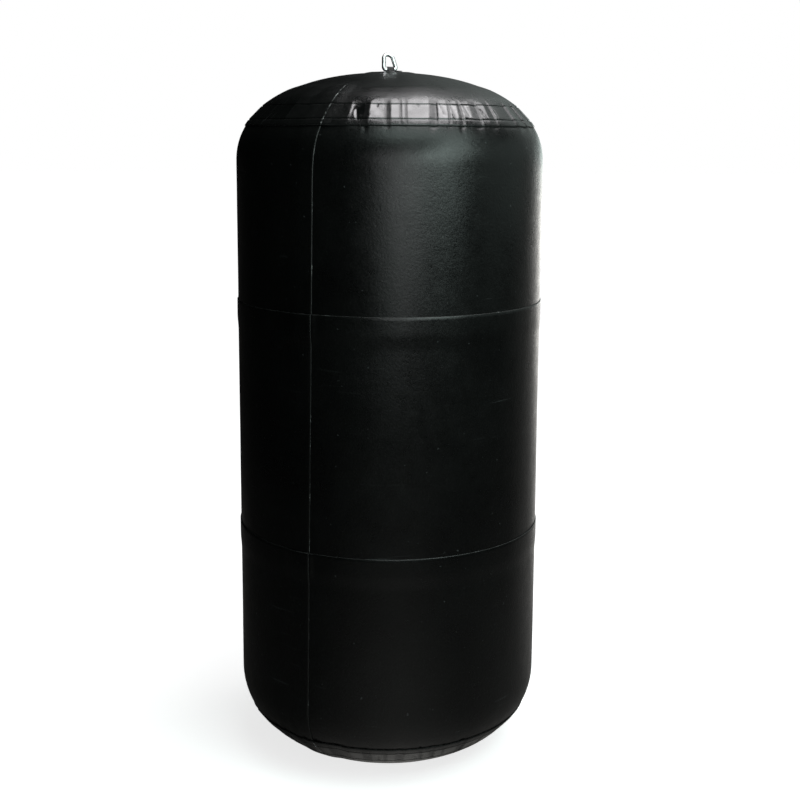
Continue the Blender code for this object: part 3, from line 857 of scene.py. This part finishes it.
def coated_fabric():
    """Black coated fabric: fine grain over a faint weave, glossy where pressed, pale threads at cut edges and
    a painted highlight over the upright lap.
    """
    finish = new_finish("black_coated_fabric")
    place = finish.place()
    cloth = finish.node("ShaderNodeUVMap", {"uv_map": "cloth"})
    pressed = finish.mark("pressed")
    raw = finish.mark("raw_edge")
    # The pale mark carries pale threads at cut edges and a painted highlight along the end discs' ridge over
    # the upright lap
    threads = finish.mark("pale")
    clouds = finish.noise(place, 7.0, 3.0)
    patches = finish.noise(place, 45.0, 3.0)
    grain = finish.noise(place, 650.0, 2.0)
    mottle = finish.noise(place, 190.0, 4.0)
    speck = finish.between(finish.noise(place, 260.0, 3.0), 0.47, 0.66)
    # Colour of the pale threads and of the painted highlight, with specks
    pale = finish.mix(speck, (0.03, 0.033, 0.032, 1), (0.5, 0.52, 0.51, 1))
    streaks = finish.node("ShaderNodeMapping", None, {"Vector": cloth, "Scale": (9.0, 150.0, 1.0)})
    scuffs = finish.between(finish.noise(streaks, 1.0, 2.0), 0.66, 0.76) * finish.between(clouds, 0.50, 0.62)
    dust = finish.between(finish.noise(place, 120.0, 1.0), 0.765, 0.80)
    cloudy = finish.between(clouds, 0.35, 0.65)
    black = finish.mix(cloudy, (0.0016, 0.0019, 0.0018, 1), (0.0028, 0.0033, 0.0031, 1))
    scuffed = finish.mix(scuffs * 0.16 + dust * 0.25, black, (0.10, 0.11, 0.11, 1))
    colour = finish.mix(threads, scuffed, pale)
    matte = finish.between(clouds, 0.3, 0.7, 0.29, 0.34) + finish.between(patches, 0.3, 0.7, -0.03, 0.03)
    matte = matte + finish.between(mottle, 0.3, 0.7, -0.028, 0.028)
    rough = matte + (0.12 - matte) * pressed + raw * 0.5
    pitch = WHOLE_TURN / 0.0016
    weave = finish.sine(finish.part(cloth, "X") * pitch) * finish.sine(finish.part(cloth, "Y") * pitch)
    relief = (grain * 0.8 + weave * 0.12) * (1 - pressed * 0.85)
    fine = finish.bump(relief, 0.00015, 0.8)
    uneven = finish.bump(mottle * (1 - pressed * 0.8), 0.0006, 0.5, fine)
    normal = finish.bump(patches, 0.0010, 0.25, uneven)
    return finish.surface(Base_Color=colour, Roughness=rough, Normal=normal, Specular_IOR_Level=0.4,
                          Coat_Weight=pressed * 0.7, Coat_Roughness=0.07)


def strap_fabric():
    """Thick black strap cloth, ribbed across, smooth where it is welded."""
    finish = new_finish("black_strap_cloth")
    place = finish.place()
    cloth = finish.node("ShaderNodeUVMap", {"uv_map": "cloth"})
    pressed = finish.mark("pressed")
    clouds = finish.noise(place, 90.0, 3.0)
    cloudy = finish.between(clouds, 0.35, 0.65)
    black = finish.mix(cloudy, (0.0030, 0.0030, 0.0032, 1), (0.006, 0.0062, 0.0062, 1))
    ribs = finish.sine(finish.part(cloth, "Y") * (WHOLE_TURN / 0.0018))
    threads = finish.sine(finish.part(cloth, "X") * (WHOLE_TURN / 0.0011))
    relief = (ribs * 0.5 + threads * 0.3 + finish.noise(place, 900.0)) * (1 - pressed * 0.8)
    rough = finish.between(clouds, 0.3, 0.7, 0.5, 0.62) - pressed * 0.25
    return finish.surface(Base_Color=black, Roughness=rough, Specular_IOR_Level=0.3,
                          Normal=finish.bump(relief, 0.0002, 0.7))


def polished_steel():
    """Polished stainless wire with a faint drawn grain."""
    finish = new_finish("polished_stainless_steel")
    place = finish.place()
    clouds = finish.noise(place, 180.0, 3.0)
    colour = finish.mix(finish.between(clouds, 0.3, 0.7), (0.74, 0.75, 0.76, 1), (0.88, 0.89, 0.90, 1))
    rough = finish.between(clouds, 0.3, 0.7, 0.24, 0.36)
    normal = finish.bump(finish.noise(place, 2200.0), 0.00004, 0.5)
    return finish.surface(Base_Color=colour, Roughness=rough, Metallic=1.0, Normal=normal)


def spring_steel():
    """Plain drawn spring wire."""
    finish = new_finish("drawn_spring_steel")
    clouds = finish.noise(finish.place(), 400.0, 3.0)
    colour = finish.mix(finish.between(clouds, 0.3, 0.7), (0.5, 0.5, 0.51, 1), (0.64, 0.64, 0.65, 1))
    rough = finish.between(clouds, 0.3, 0.7, 0.22, 0.34)
    return finish.surface(Base_Color=colour, Roughness=rough, Metallic=1.0)


def black_plastic():
    """Moulded black plastic with a fine spark-eroded texture."""
    finish = new_finish("black_valve_plastic")
    place = finish.place()
    clouds = finish.noise(place, 60.0, 3.0)
    colour = finish.mix(finish.between(clouds, 0.3, 0.7), (0.010, 0.010, 0.011, 1), (0.019, 0.019, 0.020, 1))
    rough = finish.between(clouds, 0.3, 0.7, 0.36, 0.48)
    return finish.surface(Base_Color=colour, Roughness=rough,
                          Normal=finish.bump(finish.noise(place, 1600.0), 0.00012, 0.6))


def seal_rubber():
    """Matte seal rubber."""
    finish = new_finish("matte_seal_rubber")
    clouds = finish.noise(finish.place(), 250.0, 3.0)
    colour = finish.mix(finish.between(clouds, 0.3, 0.7), (0.022, 0.022, 0.022, 1), (0.036, 0.036, 0.036, 1))
    return finish.surface(Base_Color=colour, Roughness=finish.between(clouds, 0.3, 0.7, 0.62, 0.76))


# Studio
def make_camera():
    """In front of the fender, a little lower than its crown, looking slightly down."""
    data = bpy.data.cameras.new("camera")
    data.sensor_width = 36.0
    data.lens = 57.7
    data.shift_y = -0.08
    camera = bpy.data.objects.new("camera", data)
    bpy.context.scene.collection.objects.link(camera)
    camera.location = (0, -2.55, 1.24)
    camera.rotation_euler = (radians(90 - 8.9), radians(-0.3), radians(-0.45))
    bpy.context.scene.camera = camera


def make_lamp(name, place, target, width, depth, glow, colour, lean=0.0):
    """A soft box with the same glow over its face, which the camera doesn't see; lean is in degrees."""
    data = bpy.data.lights.new(name, "AREA")
    data.shape = "RECTANGLE"
    data.size = width
    data.size_y = depth
    data.energy = glow * pi * width * depth
    data.color = colour
    lamp = bpy.data.objects.new(name, data)
    bpy.context.scene.collection.objects.link(lamp)
    lamp.location = place
    aim = (Vector(target) - Vector(place)).to_track_quat("-Z", "Y")
    lamp.rotation_euler = (aim @ Quaternion((0, 0, 1), radians(lean))).to_euler()
    lamp.visible_camera = False


def make_lamps():
    """Large boxes overhead and behind, and a row of lower ones from the front round to the right.

    Each has its name, place, target, width, depth, glow and colour, and the lower front ones lean.
    """
    white, green = (1.0, 0.98, 1.0), (0.82, 1.0, 0.95)
    make_lamp("overhead_soft_box", (0.46, -0.16, 2.95), (0.46, -0.16, 0), 1.24, 1.14, 7.6, white)
    make_lamp("rear_overhead_soft_box", (0.68, 0.56, 2.95), (0.68, 0.56, 0), 0.92, 0.30, 6.0, white)
    make_lamp("rear_right_soft_box", (1.35, 0.85, 2.95), (1.35, 0.85, 0), 0.8, 1.0, 3.0, white)
    make_lamp("front_right_soft_box", (0.96, -1.08, 1.52), (0.05, -0.2, 1.18), 0.50, 0.85, 4.6, green, -42)
    make_lamp("front_middle_soft_box", (0.61, -1.27, 1.42), (0.04, -0.2, 1.14), 0.32, 0.80, 3.6, green, -50)
    make_lamp("front_low_soft_box", (0.22, -1.43, 1.25), (0.03, -0.2, 1.12), 0.76, 0.66, 1.45, white, -50)
    make_lamp("right_soft_box", (1.45, -0.15, 1.38), (0.2, -0.1, 1.2), 1.0, 0.8, 0.35, green)
    make_lamp("high_front_soft_box", (0.32, -1.30, 2.58), (0.08, -0.25, 1.28), 1.1, 0.95, 2.9, green)
    make_lamp("front_soft_box", (0.12, -1.75, 1.1), (0.0, -0.3, 0.85), 0.5, 0.8, 0.8, green)
    make_lamp("right_shoulder_soft_box", (1.1, -0.9, 2.3), (0.1, -0.25, 1.25), 0.8, 0.6, 2.8, green)


def studio_glow(finish, right, behind, up, edge):
    """What a glossy surface mirrors: a studio that is pale behind and to the right and dark on the left.

    edge is the glow straight behind, which the fender's right outline mirrors.
    """
    side = finish.between(right, -0.06, 0.44)
    height = finish.between(up, -0.1, 0.6, 0.34, 0.72)
    back = finish.between(behind, 0.2, 0.85, 0.04, 1.0)
    rim = finish.between(behind, 0.74, 0.95) * finish.between(right, 0.05, 0.22)
    rim = rim * finish.between(up, 0.12, 0.0)
    return side * height * back + rim * edge + 0.003


def make_surroundings():
    """The studio around, which is white where the camera sees it."""
    world = bpy.data.worlds.new("studio")
    bpy.context.scene.world = world
    finish = Finish(world)
    direction = finish.node("ShaderNodeTexCoord", None, None, "Generated")
    right, behind, up = (finish.part(direction, axis) for axis in "XYZ")
    glow = studio_glow(finish, right, behind, up, 2.5)
    shown = finish.node("ShaderNodeLightPath", None, None, "Is Camera Ray")
    through = finish.node("ShaderNodeLightPath", None, None, "Is Transmission Ray")
    white = shown + through
    background = finish.tree.nodes["Background"]
    tint = finish.mix(white, (0.88, 1.0, 0.96, 1), (1, 1, 1, 1))
    finish.feed(background.inputs["Color"], tint)
    finish.feed(background.inputs["Strength"], white + (1 - white) * glow)


def make_floor():
    """A plain pale floor that shows white, keeps the fender's shadow and is mirrored as the studio is."""
    bm = bmesh.new()
    bmesh.ops.create_grid(bm, x_segments=1, y_segments=1, size=40)
    floor = add_to_scene("floor", bm)
    finish = new_finish("pale_floor")
    shown = finish.node("ShaderNodeLightPath", None, None, "Is Camera Ray")
    mirrored = finish.node("ShaderNodeLightPath", None, None, "Is Glossy Ray")
    place = finish.place()
    length = finish.node("ShaderNodeVectorMath", {"operation": "LENGTH"}, {0: place}, "Value")
    outward = finish.node("ShaderNodeVectorMath", {"operation": "NORMALIZE"}, {0: place})
    right = finish.part(outward, "X")
    near = finish.between(length, 0.2, 2.4, 0.34, 0.03) * finish.between(right, -0.8, 0.1, 0.08, 1.0)
    near = near * finish.between(right, 0.15, 0.7, 1.0, 0.35)
    edge = finish.between(length, 3.6, 8.0, 1.7, 5.6)
    glow = studio_glow(finish, right, finish.part(outward, "Y"), -0.2, edge) * 0.7 + near
    warm = finish.mix(glow * 0.2, (0, 0, 0, 1), (5.0, 4.92, 4.7, 1))
    far = finish.between(length, 0.6, 2.2, 0.78, 1.0)
    light = finish.mix(shown, finish.mix(mirrored, (0, 0, 0, 1), warm), far)
    colour = finish.mix(mirrored, (0.8, 0.8, 0.8, 1), (0.02, 0.02, 0.02, 1))
    floor.data.materials.append(finish.surface(Base_Color=colour, Roughness=0.8, Specular_IOR_Level=0.0,
                                               Emission_Color=light, Emission_Strength=1.0))


def add_piece(piece, body, slot, finish, *nodes):
    """Gives a piece its finish and its body, and hides the solids that it stands for; slot is not used."""
    piece.data.materials.clear()
    piece.data.materials.append(finish)
    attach(piece, body)
    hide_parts(*nodes)


def refinish(node, finish):
    """Gives a solid that stays as it is a better finish."""
    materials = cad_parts[node].data.materials
    materials.clear()
    materials.append(finish)


# Assembly
make_camera()
make_surroundings()
make_floor()
make_lamps()

upper_rows = spaced((FIRST_WALL_EDGE, 0.006), (TOP_DISC_EDGE - 0.006, 0.0022), (TOP_DISC_EDGE + 0.026, 0.010),
                    (UPPER_GIRTH - 0.02, 0.010), (UPPER_GIRTH + GIRTH_LAP, 1))
middle_rows = lapped_rows(UPPER_GIRTH, ((LOWER_GIRTH + GIRTH_LAP, 1),))
lower_rows = lapped_rows(LOWER_GIRTH, ((BOTTOM_DISC_EDGE - 0.026, 0.0025), (BOTTOM_DISC_EDGE + 0.006, 0.006),
                                       (LAST_WALL_EDGE, 1)))

fabric = coated_fabric()
plastic = black_plastic()
upper_wall = make_wall_sheet("upper_wall_cloth", None, upper_rows, 540)
middle_wall = make_wall_sheet("middle_wall_cloth", UPPER_GIRTH, middle_rows, 360)
lower_wall = make_wall_sheet("lower_wall_cloth", LOWER_GIRTH, lower_rows, 480)
top_disc = make_end_disc("top_disc_cloth", TOP_WELD, True, 480, radians(0.42))
bottom_disc = make_end_disc("bottom_disc_cloth", BOTTOM_WELD, False, 420, radians(0.8))
patch = make_patch()
strap = make_strap()
ring = make_ring()
for cloth, node in ((upper_wall, "upper_wall_panel"), (middle_wall, "middle_wall_panel"),
                    (lower_wall, "lower_wall_panel"), (top_disc, "top_end_disc"),
                    (bottom_disc, "bottom_end_disc"), (patch, "ring_patch")):
    add_piece(cloth, "air_body", "coated_fabric", fabric, node)
add_piece(strap, "air_body", "strap_fabric", strap_fabric(), "ring_strap")
add_piece(ring, "ring", "polished_steel", polished_steel(), "lifting_ring")
add_piece(make_valve_flange(), "air_body", "black_plastic", plastic, "valve_body")
add_piece(make_valve_cap(), "cap", "black_plastic", plastic, "valve_cap")
refinish("valve_poppet", plastic)
refinish("valve_nut", plastic)
refinish("valve_gasket", seal_rubber())
refinish("valve_spring", spring_steel())

for sheet, first, last in ((upper_wall, FIRST_WALL_EDGE, UPPER_GIRTH + GIRTH_LAP),
                           (middle_wall, UPPER_GIRTH, LOWER_GIRTH + GIRTH_LAP),
                           (lower_wall, LOWER_GIRTH, LAST_WALL_EDGE)):
    last - first
for sheet, cut_radius, under in ((top_disc, TOP_WELD.disc_edge, upper_wall),
                                 (bottom_disc, BOTTOM_WELD.disc_edge, lower_wall),
                                 (patch, PATCH_RADIUS, top_disc)):
    2 * cut_radius
    2 * cut_radius
    pi * cut_radius**2

bpy.context.scene.view_settings.view_transform = "Standard"
